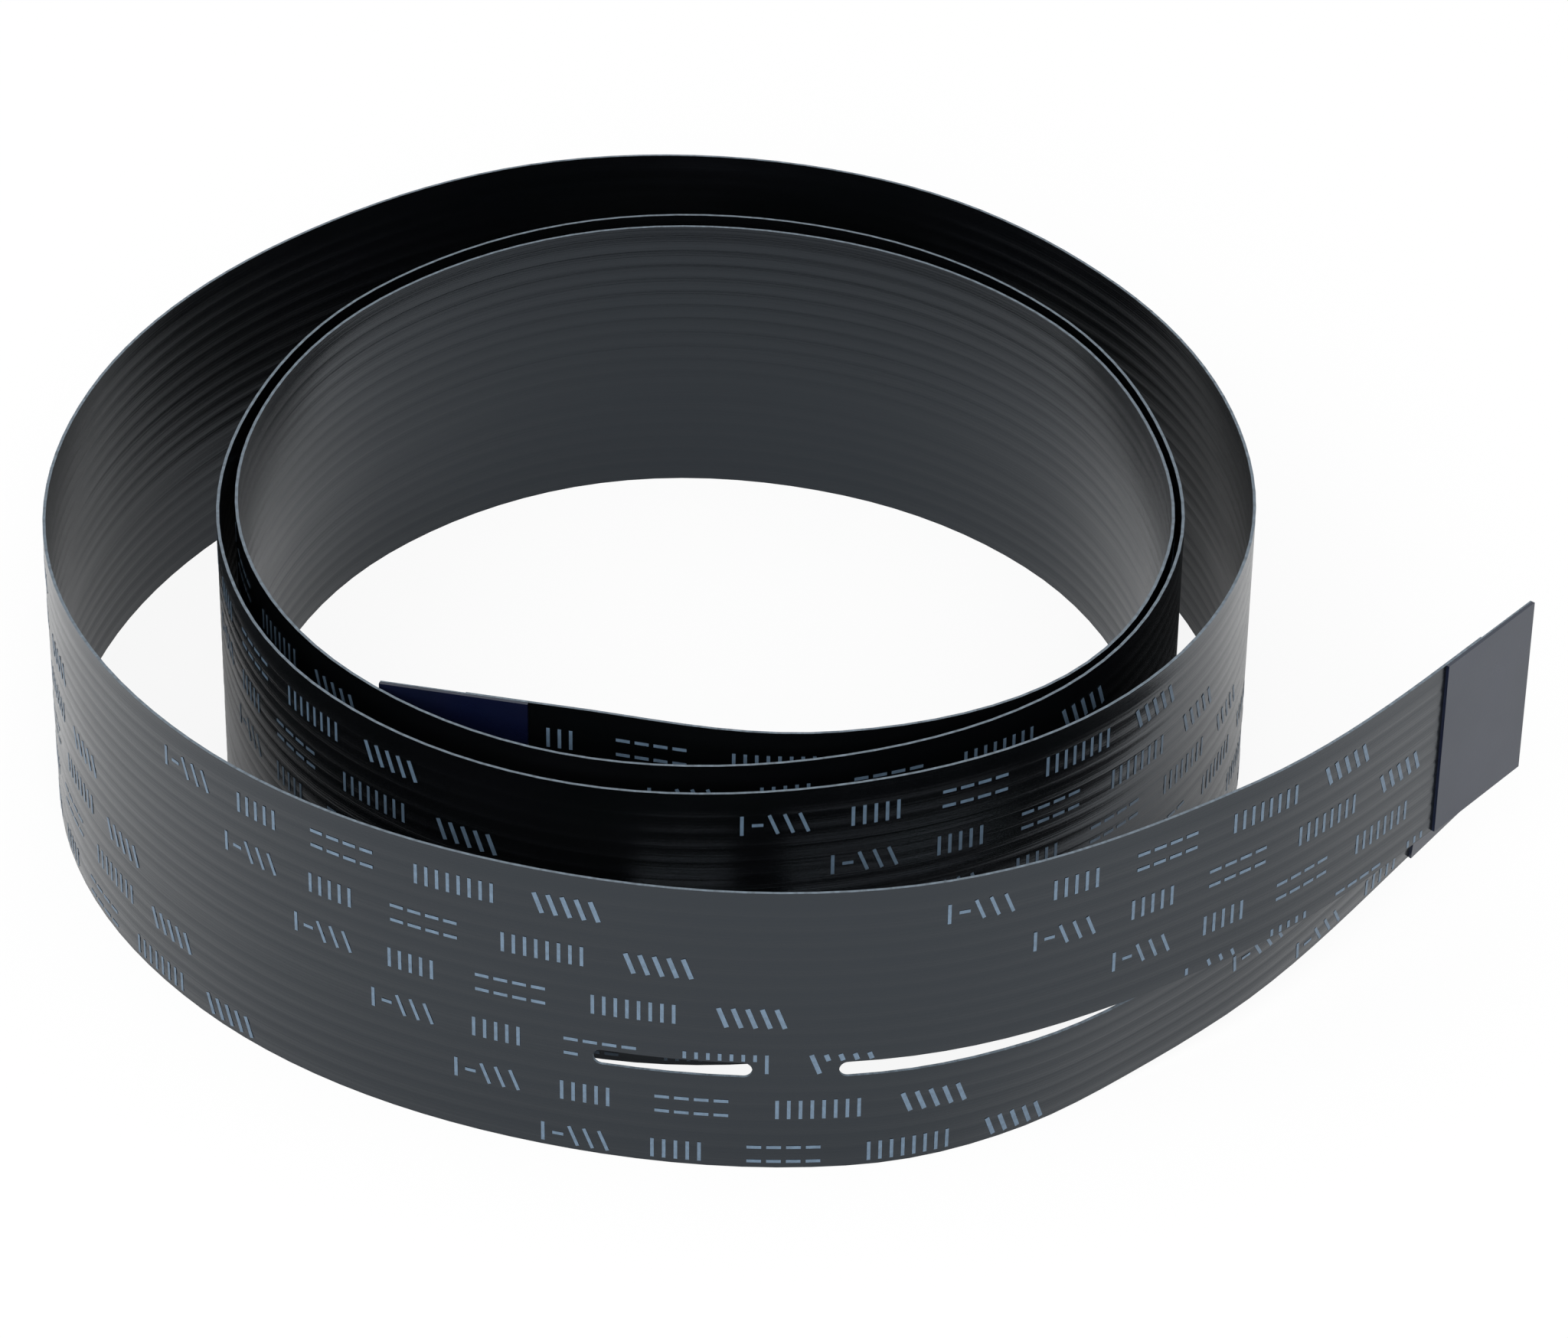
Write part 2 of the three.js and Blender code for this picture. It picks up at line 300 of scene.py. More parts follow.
class Route:
    """Frames along the ribbon: foot, along, across and out, at a distance from the inner end."""

    def __init__(self, sizes, tongue):
        self.sizes = sizes
        self.tongue = tongue
        tab = tangent_on(FIRST_TURN, INNER_TAB_BEARING) * sizes.tab
        tip = (point_on(FIRST_TURN, INNER_TAB_BEARING) - tab).length
        radii = [*FIRST_TURN, tip + sizes.thickness + sizes.stiffener_thickness + TIP_CLEARANCE]
        for row in TURN_SPACING:
            for spacing in row:
                radii.append(radii[-len(FIRST_TURN)] + spacing)
        self.radii = radii
        self.table = [(INNER_TAB_BEARING, 0.0)]
        while self.table[-1][0] < OUTER_TAB_BEARING:
            at, length = self.table[-1]
            after = min(at + TABLE_STEP, OUTER_TAB_BEARING)
            self.table.append((after, length + (point_on(radii, after) - point_on(radii, at)).length))
        self.wound = self.table[-1][1]
        self.length = self.wound + 2 * sizes.tab
        self.slit = self.length - sizes.tongue + sizes.slot_width / 2
        short_end = self.length - sizes.tongue - sizes.bridge
        self.short_slot = (short_end - sizes.short_slot, short_end)

    def bearing_at(self, length):
        low, high = 0, len(self.table) - 1
        while high - low > 1:
            middle = (low + high) // 2
            if self.table[middle][1] < length:
                low = middle
            else:
                high = middle
        (a, start), (b, end) = self.table[low], self.table[high]
        return a + (b - a) * (length - start) / (end - start)

    def frame_at(self, distance):
        wound = min(max(distance - self.sizes.tab, 0.0), self.wound)
        bearing = self.bearing_at(wound)
        along = tangent_on(self.radii, bearing)
        foot = point_on(self.radii, bearing) + along * (distance - self.sizes.tab - wound)
        return foot, along, UP.copy(), along.cross(UP)

    def share(self, distance, start, end):
        return smooth((distance - self.slit) / (self.length - self.slit), start, end)

    def lean_at(self, distance):
        return self.tongue.lean * self.share(distance, 0, self.tongue.tuck_share)

    def narrow_foot(self, distance):
        foot, _, _, out = self.frame_at(distance)
        lean = self.lean_at(distance)
        clear = self.tongue.clearance + self.sizes.thickness
        clear *= self.share(distance, 0, self.tongue.tuck_share)
        foot = foot - out * (clear + self.sizes.narrow_top * math.sin(lean))
        foot.z = self.tongue.rise * self.share(distance, self.tongue.rise_start, 1)
        foot.z += self.sizes.thickness / 2 * math.sin(lean)
        return foot

    def narrow_frame_at(self, distance):
        if distance <= self.slit:
            return self.frame_at(distance)
        at = min(distance, self.length - self.sizes.tab)
        along = (self.narrow_foot(at + TONGUE_REACH) - self.narrow_foot(at - TONGUE_REACH)).normalized()
        level = along.cross(UP).normalized()
        across = Matrix.Rotation(self.lean_at(at), 3, along) @ level.cross(along).normalized()
        foot = self.narrow_foot(at) + along * (distance - at)
        return foot, along, across, along.cross(across)


def stations(start, end, step):
    """Even distances from start to end, about a step apart."""
    count = max(1, round((end - start) / step))
    return [start + (end - start) * i / count for i in range(count + 1)]


def new_piece(name, mesh, *materials):
    piece = bpy.data.objects.new(name, mesh)
    bpy.context.scene.collection.objects.link(piece)
    for material in materials:
        mesh.materials.append(material)
    return piece


def pick(piece):
    bpy.ops.object.select_all(action="DESELECT")
    piece.select_set(True)
    bpy.context.view_layer.objects.active = piece


def add_node(tree, kind, settings=None, inputs=None):
    """Adds a node with its settings, and its inputs as values or as links from other sockets."""
    node = tree.nodes.new(kind)
    for name, value in (settings or {}).items():
        setattr(node, name, value)
    for name, value in (inputs or {}).items():
        if isinstance(value, bpy.types.NodeSocket):
            tree.links.new(value, node.inputs[name])
        else:
            node.inputs[name].default_value = value
    return node


def new_material(name):
    material = bpy.data.materials.new(name)
    material.use_nodes = True
    material.node_tree.nodes.clear()
    return material, material.node_tree


def close_material(tree, shader):
    add_node(tree, "ShaderNodeOutputMaterial", inputs={"Surface": shader.outputs[0]})


def route_noise(tree, route, scale, inputs):
    """A noise on the route map, with its scale along and across the ribbon in cells per millimetre."""
    place = add_node(tree, "ShaderNodeMapping", inputs={
        "Vector": route.outputs["UV"], "Scale": (*scale, 1.0)})
    return add_node(tree, "ShaderNodeTexNoise", {"noise_dimensions": "2D"}, {
        "Vector": place.outputs["Vector"], "Scale": 1.0, **inputs})


# Polyester laminate, hot rolled over flat conductors: a smooth black film with a satin gloss, drawn
# into fine lines along its length by the rollers
def film_material(colour):
    material, tree = new_material("polyester_laminate_black")
    route = add_node(tree, "ShaderNodeUVMap", {"uv_map": "route"})
    # Roller lines lie about 0.12 mm apart and run for about 60 mm. Cloudy patches of handling are
    # 6 to 17 mm across. The film's own grain is drawn 0.17 mm coarse, as the finest that shows.
    lines = route_noise(tree, route, (0.016, 8.0), {"Detail": 3.0, "Roughness": 0.6})
    cloud = route_noise(tree, route, (0.06, 0.16), {"Detail": 4.0, "Roughness": 0.55})
    grain = route_noise(tree, route, (6.0, 6.0), {"Detail": 2.0, "Roughness": 0.5})
    rough = add_node(tree, "ShaderNodeMapRange", inputs={
        "Value": cloud.outputs["Fac"], "From Min": 0.3, "From Max": 0.7, "To Min": 0.19, "To Max": 0.27})
    rolled = add_node(tree, "ShaderNodeBump", inputs={
        "Height": lines.outputs["Fac"], "Strength": 0.5, "Distance": 0.00002})
    bump = add_node(tree, "ShaderNodeBump", inputs={
        "Height": grain.outputs["Fac"], "Strength": 0.3, "Distance": 0.00001,
        "Normal": rolled.outputs["Normal"]})
    base = add_node(tree, "ShaderNodeMixRGB", {"blend_type": "MULTIPLY"}, {
        "Fac": 0.3, "Color1": linear(colour), "Color2": cloud.outputs["Color"]})
    shader = add_node(tree, "ShaderNodeBsdfPrincipled", inputs={
        "Base Color": base.outputs["Color"], "Roughness": rough.outputs["Result"], "IOR": 1.575,
        "Specular Tint": (0.76, 0.87, 1.0, 1.0), "Normal": bump.outputs["Normal"]})
    close_material(tree, shader)
    return material


# The edge where the laminate was slit: a dull, slightly ragged cut through film and clear adhesive.
# Its pale blue-grey colour is a painted highlight, standing in for the light that the cut edges
# catch, so they show brighter than the faces.
def edge_highlight_material(colour):
    material, tree = new_material("polyester_laminate_slit_edge")
    route = add_node(tree, "ShaderNodeUVMap", {"uv_map": "route"})
    # Knife marks, about 0.5 mm apart, which break the painted highlight with a darker edge colour
    marks = route_noise(tree, route, (2.0, 2.0), {"Detail": 4.0, "Roughness": 0.7})
    ramp = add_node(tree, "ShaderNodeMapRange", inputs={
        "Value": marks.outputs["Fac"], "From Min": 0.3, "From Max": 0.75, "To Min": 0.35, "To Max": 1.0})
    base = add_node(tree, "ShaderNodeMixRGB", {"blend_type": "MIX"}, {
        "Fac": ramp.outputs["Result"], "Color1": linear("#14181d"), "Color2": linear(colour)})
    shader = add_node(tree, "ShaderNodeBsdfPrincipled", inputs={
        "Base Color": base.outputs["Color"], "Roughness": 0.55, "IOR": 1.5})
    close_material(tree, shader)
    return material


# Polyester stiffener, laminated on with a clear adhesive: a dyed navy sheet, calendered to an even
# satin gloss with a faint grain
def tape_material(colour):
    material, tree = new_material("polyester_stiffener_navy")
    place = add_node(tree, "ShaderNodeTexCoord")
    # A grain 0.2 mm coarse, and a slow change of depth over 5 mm
    grain = add_node(tree, "ShaderNodeTexNoise", inputs={
        "Vector": place.outputs["Object"], "Scale": 5000.0, "Detail": 2.0})
    depth = add_node(tree, "ShaderNodeTexNoise", inputs={
        "Vector": place.outputs["Object"], "Scale": 200.0, "Detail": 3.0})
    base = add_node(tree, "ShaderNodeMixRGB", {"blend_type": "MULTIPLY"}, {
        "Fac": 0.45, "Color1": linear(colour), "Color2": depth.outputs["Color"]})
    rough = add_node(tree, "ShaderNodeMapRange", inputs={
        "Value": depth.outputs["Fac"], "From Min": 0.3, "From Max": 0.7, "To Min": 0.26, "To Max": 0.34})
    bump = add_node(tree, "ShaderNodeBump", inputs={
        "Height": grain.outputs["Fac"], "Strength": 0.25, "Distance": 0.00001})
    shader = add_node(tree, "ShaderNodeBsdfPrincipled", inputs={
        "Base Color": base.outputs["Color"], "Roughness": rough.outputs["Result"], "IOR": 1.575,
        "Specular Tint": (0.8, 0.9, 1.0, 1.0), "Normal": bump.outputs["Normal"]})
    close_material(tree, shader)
    return material


# Copper flats with a hot-dipped tin finish: a pale, slightly blue metal, satin from rolling, with a
# fine rolled texture and small dull spots
def tin_material(colour):
    material, tree = new_material("tinned_copper_flat")
    place = add_node(tree, "ShaderNodeTexCoord")
    # Spots 0.4 mm across, and rolling texture 0.1 mm coarse
    spots = add_node(tree, "ShaderNodeTexNoise", inputs={
        "Vector": place.outputs["Object"], "Scale": 2500.0, "Detail": 3.0})
    fine = add_node(tree, "ShaderNodeTexNoise", inputs={
        "Vector": place.outputs["Object"], "Scale": 10000.0, "Detail": 2.0})
    base = add_node(tree, "ShaderNodeMixRGB", {"blend_type": "MULTIPLY"}, {
        "Fac": 0.12, "Color1": linear(colour), "Color2": spots.outputs["Color"]})
    rough = add_node(tree, "ShaderNodeMapRange", inputs={
        "Value": spots.outputs["Fac"], "From Min": 0.3, "From Max": 0.7, "To Min": 0.2, "To Max": 0.36})
    bump = add_node(tree, "ShaderNodeBump", inputs={
        "Height": fine.outputs["Fac"], "Strength": 0.3, "Distance": 0.00001})
    shader = add_node(tree, "ShaderNodeBsdfPrincipled", inputs={
        "Base Color": base.outputs["Color"], "Roughness": rough.outputs["Result"], "Metallic": 1.0,
        "Normal": bump.outputs["Normal"]})
    close_material(tree, shader)
    return material


# Marking ink, printed on the film by a roller: duller than the film, thin, and uneven where it
# didn't take
def ink_material(colour):
    material, tree = new_material("marking_ink_pale_blue")
    place = add_node(tree, "ShaderNodeTexCoord")
    # Thin places about 0.3 mm across
    thin = add_node(tree, "ShaderNodeTexNoise", inputs={
        "Vector": place.outputs["Object"], "Scale": 3300.0, "Detail": 3.0})
    cover = add_node(tree, "ShaderNodeMapRange", inputs={
        "Value": thin.outputs["Fac"], "From Min": 0.3, "From Max": 0.7, "To Min": 0.7, "To Max": 1.0})
    base = add_node(tree, "ShaderNodeMixRGB", {"blend_type": "MIX"}, {
        "Fac": cover.outputs["Result"], "Color1": linear("#20272e"), "Color2": linear(colour)})
    shader = add_node(tree, "ShaderNodeBsdfPrincipled", inputs={
        "Base Color": base.outputs["Color"], "Roughness": 0.45, "IOR": 1.5})
    close_material(tree, shader)
    return material


class CABLE_OT_ribbon(bpy.types.Operator):
    """Make the laminated ribbon with its conductor ridges, slots and tongues"""

    bl_idname = "cable.ribbon"
    bl_label = "Ribbon"

    # Steps round a slot's end, the distance in metres within which corners are joined, and the
    # angle above which an edge stays sharp
    arc_steps = 16
    weld = 1e-7
    sharp = math.radians(50)

    def section(self, sizes, low, high, bare):
        """Points round the section as height and depth: up the outer face and down the inner."""
        half = sizes.thickness / 2
        dip = half - sizes.valley
        ridge = []
        for place in range(sizes.places):
            if place + 1 == sizes.empty_place:
                continue
            middle = sizes.first_place + place * sizes.pitch
            if low < middle < high:
                foot, top = sizes.ridge_foot, sizes.ridge_top
                ridge += [(middle - foot, dip), (middle - top, half), (middle, half),
                          (middle + top, half), (middle + foot, dip)]
        profile = [(low, dip), *ridge, (high, dip)]
        bare_depth = sizes.contact_thickness - half
        inner = [(height, bare_depth if bare else -depth) for height, depth in profile]
        return profile + inner[::-1]

    def ring(self, shell, route, distance, bare):
        """The corners round the ribbon: up the outer face of both tongues and down the inner face."""
        sizes = route.sizes
        low = self.section(sizes, 0, sizes.narrow_top, bare)
        high = self.section(sizes, sizes.wide_bottom, sizes.width, bare)
        half = len(low) // 2
        frames = (route.narrow_frame_at(distance), route.frame_at(distance))
        order = [(frames[0], point) for point in low[:half]]
        order += [(frames[1], point) for point in high]
        order += [(frames[0], point) for point in low[half:]]
        return [self.corner(shell, frame, distance, *point) for frame, point in order]

    def corner(self, shell, frame, distance, height, depth):
        """A vertex on a frame, with its place on the route map."""
        foot, _, across, out = frame
        return shell.verts.new((foot + across * height + out * depth) * MM), (distance, height)

    def face(self, shell, uv, corners, material=0):
        """A face with its route map. Material 0 is the film and 1 its slit edge, whose pale colour is a
        painted highlight.
        """
        face = shell.faces.new([corner for corner, _ in corners])
        face.smooth = True
        face.material_index = material
        for loop, (_, place) in zip(face.loops, corners):
            loop[uv].uv = place

    def cap(self, shell, uv, ring):
        """Closes an end across its thickness."""
        for i in range(len(ring) // 2 - 1):
            self.face(shell, uv, [ring[i], ring[i + 1], ring[-2 - i], ring[-1 - i]], 1)

    def arc(self, shell, route, distance, way, side):
        """The round end of a slot on one face, from its low edge to its high edge."""
        sizes = route.sizes
        radius = sizes.slot_width / 2
        depth = side * (sizes.thickness / 2 - sizes.valley)
        corners = []
        for i in range(1, self.arc_steps):
            angle = math.pi * i / self.arc_steps
            at = distance + way * radius * math.sin(angle)
            height = sizes.slot_middle - radius * math.cos(angle)
            corners.append(self.corner(shell, route.frame_at(at), at, height, depth))
        return corners

    def band(self, shell, uv, route, rings, low, high, shut):
        """The band between the tongues: shut, cut away, or shut with a round end to a slot."""
        (ring, after), (before_shut, now_shut, after_shut) = rings, shut
        # On each face, the corners at the band's low edge and at its high edge
        outer, inner = (low - 1, low), (high, high - 1)
        if not now_shut:
            for i, j in ((outer[0], inner[0]), (inner[1], outer[1])):
                self.face(shell, uv, [ring[i], after[i], after[j], ring[j]], 1)
            return
        arcs = {}
        for end, open_there, way in ((ring, not before_shut, 1), (after, not after_shut, -1)):
            arcs[way] = ([], [])
            if open_there:
                distance = end[0][1][0]
                arcs[way] = [self.arc(shell, route, distance, way, side) for side in (1, -1)]
                rims = zip((outer, inner), arcs[way])
                over, under = ([end[pair[0]], *arc, end[pair[1]]] for pair, arc in rims)
                for i in range(self.arc_steps):
                    self.face(shell, uv, [over[i], under[i], under[i + 1], over[i + 1]], 1)
        for pair, side in ((outer, 0), (inner, 1)):
            corners = [ring[pair[0]], after[pair[0]], *arcs[-1][side], after[pair[1]], ring[pair[1]]]
            self.face(shell, uv, corners + arcs[1][side][::-1])

    def places(self, route, slot):
        """Where the rings lie along the ribbon, and whether the inner film is cut back there."""
        sizes = route.sizes
        tab_start = route.length - sizes.tab
        bare_start = route.length - sizes.contact
        places = [(d, True) for d in stations(0, sizes.contact, sizes.station)]
        places += [(d, False) for d in stations(sizes.contact, sizes.tab, sizes.station)]
        stops = (sizes.tab, *slot, route.slit, tab_start, bare_start)
        for start, end in zip(stops, stops[1:]):
            places += [(d, False) for d in stations(start, end, sizes.station)[1:]]
        places += [(d, True) for d in stations(bare_start, route.length, sizes.station)]
        return places

    def execute(self, context):
        sizes = context.scene.ribbon_sizes
        route = Route(sizes, context.scene.tongue_sizes)
        radius = sizes.slot_width / 2
        slot = (route.short_slot[0] + radius, route.short_slot[1] - radius)
        places = self.places(route, slot)
        shell = bmesh.new()
        uv = shell.loops.layers.uv.new("route")
        rings = [self.ring(shell, route, d, bare) for d, bare in places]
        low = len(self.section(sizes, 0, sizes.narrow_top, False)) // 2
        high = len(rings[0]) - low
        shut = []
        for (start, _), (end, _) in zip(places, places[1:]):
            middle = (start + end) / 2
            shut.append(middle < route.slit and not slot[0] < middle < slot[1])
        slit_edges = (len(rings[0]) // 2 - 1, len(rings[0]) - 1)
        for k, (ring, after) in enumerate(zip(rings, rings[1:])):
            for i in range(len(ring)):
                if i not in (low - 1, high - 1):
                    j = (i + 1) % len(ring)
                    self.face(shell, uv, [ring[i], after[i], after[j], ring[j]], int(i in slit_edges))
            near = (shut[max(k - 1, 0)], shut[k], shut[min(k + 1, len(shut) - 1)])
            self.band(shell, uv, route, (ring, after), low, high, near)
        self.cap(shell, uv, rings[0])
        self.cap(shell, uv, rings[-1][:low] + rings[-1][high:])
        self.cap(shell, uv, rings[-1][low:high])
        bmesh.ops.remove_doubles(shell, verts=shell.verts, dist=self.weld)
        bmesh.ops.recalc_face_normals(shell, faces=shell.faces)
        mesh = bpy.data.meshes.new("ribbon_laminate")
        shell.to_mesh(mesh)
        shell.free()
        colours = context.scene.cable_colours
        finishes = (film_material(colours.film), edge_highlight_material(colours.edge_highlight))
        ribbon = new_piece("ribbon_laminate", mesh, *finishes)
        move_to_frame(ribbon, route)
        pick(ribbon)
        bpy.ops.object.shade_smooth_by_angle(angle=self.sharp)
        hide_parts("ribbon")
        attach(ribbon, BODY)
        return {"FINISHED"}


def coil_middle(route):
    """Where the middle of the coil lies in the part's frame, from the CAD ribbon's left and back."""
    low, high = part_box("ribbon")
    sizes = route.sizes
    fine_step = 0.5
    frames = [route.frame_at(d) for d in stations(0, route.length, fine_step)]
    rims = [foot + out * sizes.thickness / 2 for foot, _, _, out in frames]
    left = min(rim.x for rim in rims)
    back = max(rim.y for rim in rims)
    return Vector((low[0] - left * MM, high[1] - back * MM, 0))


def move_to_frame(piece, route):
    """Moves a piece's mesh from the coil's middle to the part's frame."""
    piece.data.transform(Matrix.Translation(coil_middle(route)))


# Generic marks, each as strokes from point to point. Points are shares of the mark's width and height.
MARKS = {
    "slant": (((0.05, 0), (0.8, 1)),),
    "tick": (((0.5, 0), (0.5, 1)),),
    "dash": (((0.0, 0.12), (0.95, 0.12)), ((0.0, 0.88), (0.95, 0.88))),
    "middle_dash": (((0.0, 0.5), (0.95, 0.5)),),
}
# A line of marks, from its start: how far along each group lies, its length, and its marks
LINE = (
    (0.0, 4.0, ("slant",) * 5),
    (5.9, 5.2, ("tick",) * 8),
    (13.4, 4.4, ("dash",) * 4),
    (19.9, 3.3, ("tick",) * 5),
    (25.3, 4.3, ("slant", "slant", "slant", "middle_dash", "tick")),
)


class CABLE_OT_marks(bpy.types.Operator):
    """Print the rows of generic marks on the ribbon's outer face"""

    bl_idname = "cable.marks"
    bl_label = "Printed marks"

    # Least height of a stroke that is kept over a slot, and its gap from the slot
    least = 0.05
    gap = 0.02

    def stroke(self, shell, route, start, end, width):
        """A thin slab from start to end, each a distance and a height, laid on the outer face."""
        line = Vector(end) - Vector(start)
        side = Vector((-line.y, line.x)).normalized() * width / 2
        corners = [Vector(start) - side, Vector(end) - side, Vector(end) + side, Vector(start) + side]
        marks = bpy.context.scene.mark_sizes
        level = route.sizes.thickness / 2 + marks.lift
        sheets = []
        for depth in (level, level + marks.thickness):
            sheet = []
            for distance, height in corners:
                low = height < route.sizes.slot_middle
                foot, _, across, out = (route.narrow_frame_at if low else route.frame_at)(distance)
                sheet.append(shell.verts.new((foot + across * height + out * depth) * MM))
            sheets.append(sheet)
        under, over = sheets
        shell.faces.new(over)
        shell.faces.new(under[::-1])
        for i in range(4):
            j = (i + 1) % 4
            shell.faces.new((under[i], under[j], over[j], over[i]))

    def cut_low(self, start, end, low):
        """The part of a stroke above a height, or None."""
        if max(start[1], end[1]) <= low + self.least:
            return None
        if min(start[1], end[1]) >= low:
            return start, end
        share = (low - start[1]) / (end[1] - start[1])
        cut = (start[0] + (end[0] - start[0]) * share, low)
        return (cut, end) if start[1] < low else (start, cut)

    def over_slot(self, route, begin, end):
        """Whether a mark in the slotted row lies over the closed slot or the slit."""
        sizes = route.sizes
        margin = bpy.context.scene.mark_sizes.margin
        short = route.short_slot[0] - margin < begin and end < route.short_slot[1] + margin
        return short or begin > route.slit - sizes.slot_width

    def line(self, shell, route, start, foot, slotted):
        """One line of marks, printed from its start back towards the inner end."""
        sizes = route.sizes
        marks = bpy.context.scene.mark_sizes
        clear = sizes.tab + marks.margin
        for place, length, kinds in LINE:
            step = length / len(kinds)
            thick = marks.bold_stroke if place == 0 else marks.stroke
            for i, kind in enumerate(kinds):
                begin = start - place - i * step
                width = -step * marks.share
                if begin + width < clear or begin > route.length - clear:
                    continue
                cut = slotted and self.over_slot(route, begin, begin + width)
                for points in MARKS[kind]:
                    ends = [(begin + x * width, foot + y * marks.height) for x, y in points]
                    if cut:
                        ends = self.cut_low(*ends, sizes.wide_bottom + thick / 2 + self.gap)
                    if ends is not None:
                        self.stroke(shell, route, *ends, thick)

    def execute(self, context):
        sizes = context.scene.ribbon_sizes
        marks = context.scene.mark_sizes
        route = Route(sizes, context.scene.tongue_sizes)
        shell = bmesh.new()
        for row in range(marks.rows):
            middle = marks.top_row - row * marks.row_pitch
            foot = middle - marks.height / 2
            slotted = foot < sizes.wide_bottom < middle + marks.height / 2
            first = (marks.start + row * marks.row_shift) % marks.repeat - marks.repeat
            # Lines that start before the inner end or run past the outer end are cut there.
            for turn in range(int(route.length / marks.repeat) + 3):
                self.line(shell, route, first + turn * marks.repeat, foot, slotted)
        bmesh.ops.recalc_face_normals(shell, faces=shell.faces)
        mesh = bpy.data.meshes.new("marking_ink")
        shell.to_mesh(mesh)
        shell.free()
        ink = new_piece("marking_ink", mesh, ink_material(context.scene.cable_colours.ink))
        move_to_frame(ink, route)
        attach(ink, BODY)
        return {"FINISHED"}


class CABLE_OT_tabs(bpy.types.Operator):
    """Finish the stiffeners and the bare contacts of the tabs"""

    bl_idname = "cable.tabs"
    bl_label = "Stiffeners and contacts"

    def execute(self, context):
        colours = context.scene.cable_colours
        finishes = {"stiffener_": tape_material(colours.tape), "contact_": tin_material(colours.tin)}
        for start, material in finishes.items():
            nodes = [node for node in bpy.data.objects if node.name.startswith(start)]
            if not nodes:
                raise RuntimeError("no part starts with " + start)
            for node in nodes:
                node.material_slots[0].material = material
        return {"FINISHED"}


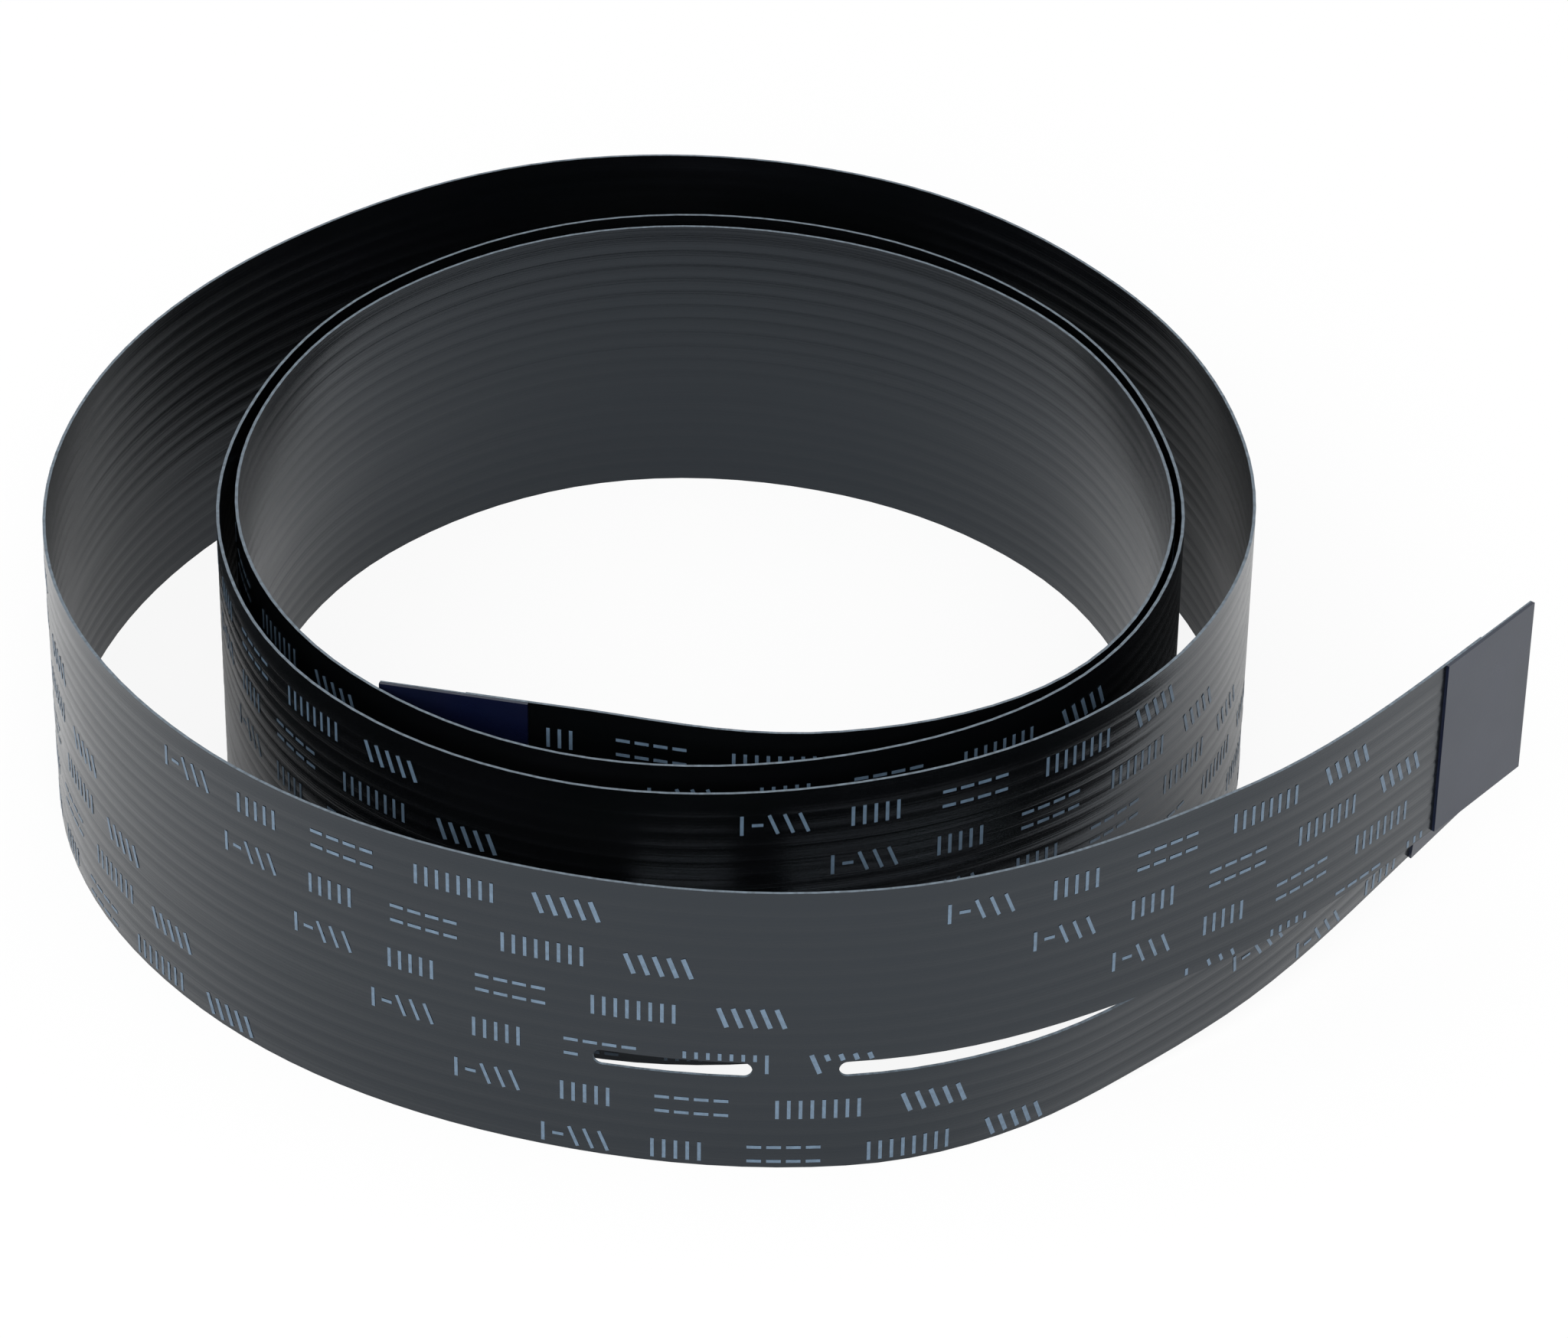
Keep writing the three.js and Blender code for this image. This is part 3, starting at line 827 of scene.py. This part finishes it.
class CABLE_OT_stage(bpy.types.Operator):
    """Make the floor, the light and the camera"""

    bl_idname = "cable.stage"
    bl_label = "Studio"

    def execute(self, context):
        scene = context.scene
        scene.view_settings.view_transform = "Standard"
        self.floor(scene)
        self.light(scene)
        self.camera(scene)
        return {"FINISHED"}

    def floor(self, scene):
        bpy.ops.object.select_all(action="DESELECT")
        bpy.ops.mesh.primitive_plane_add(size=scene.studio_sizes.floor)
        floor = bpy.context.object
        floor.name = "studio_floor"
        material, tree = new_material("studio_floor_pale")
        # Matt painted board: it shows as white and still takes the object's soft shadow.
        paint = add_node(tree, "ShaderNodeBsdfDiffuse", inputs={
            "Color": linear(scene.cable_colours.floor)})
        glow = add_node(tree, "ShaderNodeEmission", inputs={"Color": (1, 1, 1, 1), "Strength": 1.0})
        path = add_node(tree, "ShaderNodeLightPath")
        gloss = add_node(tree, "ShaderNodeMath", {"operation": "MULTIPLY"})
        tree.links.new(path.outputs["Is Glossy Ray"], gloss.inputs[0])
        gloss.inputs[1].default_value = scene.studio_sizes.floor_gloss
        seen = add_node(tree, "ShaderNodeMath", {"operation": "MAXIMUM"})
        tree.links.new(path.outputs["Is Camera Ray"], seen.inputs[0])
        tree.links.new(gloss.outputs["Value"], seen.inputs[1])
        share = add_node(tree, "ShaderNodeMath", {"operation": "MULTIPLY"})
        tree.links.new(seen.outputs["Value"], share.inputs[0])
        share.inputs[1].default_value = scene.studio_sizes.floor_glow
        both = add_node(tree, "ShaderNodeMixShader", inputs={"Fac": share.outputs["Value"]})
        tree.links.new(paint.outputs["BSDF"], both.inputs[1])
        tree.links.new(glow.outputs["Emission"], both.inputs[2])
        close_material(tree, both)
        floor.data.materials.append(material)

    def light(self, scene):
        """Light from all round, which the camera and glossy surfaces see as white, and a softbox."""
        studio = scene.studio_sizes
        world = bpy.data.worlds.new("studio_light")
        scene.world = world
        world.use_nodes = True
        tree = world.node_tree
        tree.nodes.clear()
        path = add_node(tree, "ShaderNodeLightPath")
        seen = add_node(tree, "ShaderNodeMath", {"operation": "MAXIMUM"})
        tree.links.new(path.outputs["Is Camera Ray"], seen.inputs[0])
        tree.links.new(path.outputs["Is Glossy Ray"], seen.inputs[1])
        strength = add_node(tree, "ShaderNodeMapRange", inputs={
            "Value": seen.outputs["Value"], "To Min": studio.sky, "To Max": 1.0})
        sky = add_node(tree, "ShaderNodeBackground", inputs={
            "Color": (1, 1, 1, 1), "Strength": strength.outputs["Result"]})
        add_node(tree, "ShaderNodeOutputWorld", inputs={"Surface": sky.outputs["Background"]})
        lamp = bpy.data.lights.new("softbox", "AREA")
        lamp.shape = "RECTANGLE"
        lamp.size, lamp.size_y = studio.softbox_size
        lamp.energy = studio.softbox_power
        softbox = bpy.data.objects.new("softbox", lamp)
        scene.collection.objects.link(softbox)
        softbox.location = studio.softbox
        softbox.rotation_euler = (-softbox.location).to_track_quat("-Z", "Y").to_euler()

    def camera(self, scene):
        """The camera of the photograph: a long lens, above the front of the coil, a little turned."""
        studio = scene.studio_sizes
        elevation, roll = studio.elevation, studio.roll
        forward = Vector((0, math.cos(elevation), -math.sin(elevation)))
        top = Vector((0, math.sin(elevation), math.cos(elevation)))
        right = Vector((1, 0, 0))
        turned_right = right * math.cos(roll) + top * math.sin(roll)
        turned_top = top * math.cos(roll) - right * math.sin(roll)
        data = bpy.data.cameras.new("photo_camera")
        data.sensor_fit = "HORIZONTAL"
        data.sensor_width = 36
        data.lens = studio.lens
        data.clip_start = 0.01
        data.clip_end = 20
        camera = bpy.data.objects.new("photo_camera", data)
        scene.collection.objects.link(camera)
        place = Matrix((turned_right, turned_top, -forward)).transposed().to_4x4()
        place.translation = Vector(studio.aim) - forward * studio.distance
        camera.matrix_world = place
        scene.camera = camera


class CABLE_PT_panel(bpy.types.Panel):
    """The cable's pieces"""

    bl_idname = "CABLE_PT_panel"
    bl_label = "Flat flexible cable"
    bl_space_type = "VIEW_3D"
    bl_region_type = "UI"
    bl_category = "Flat Cable"

    def draw(self, context):
        for kind in OPERATORS:
            self.layout.operator(kind.bl_idname)


OPERATORS = (CABLE_OT_stage, CABLE_OT_ribbon, CABLE_OT_marks, CABLE_OT_tabs)
GROUPS = {"ribbon_sizes": RibbonSizes, "tongue_sizes": TongueSizes, "mark_sizes": MarkSizes,
          "studio_sizes": StudioSizes, "cable_colours": CableColours}


def register():
    for kind in (*GROUPS.values(), *OPERATORS, CABLE_PT_panel):
        bpy.utils.register_class(kind)
    for name, group in GROUPS.items():
        setattr(bpy.types.Scene, name, bpy.props.PointerProperty(type=group))


def unregister():
    for name in GROUPS:
        delattr(bpy.types.Scene, name)
    for kind in reversed((*GROUPS.values(), *OPERATORS, CABLE_PT_panel)):
        bpy.utils.unregister_class(kind)


def main():
    register()
    bpy.ops.cable.stage()
    bpy.ops.cable.ribbon()
    bpy.ops.cable.marks()
    bpy.ops.cable.tabs()


if __name__ == "__main__":
    main()
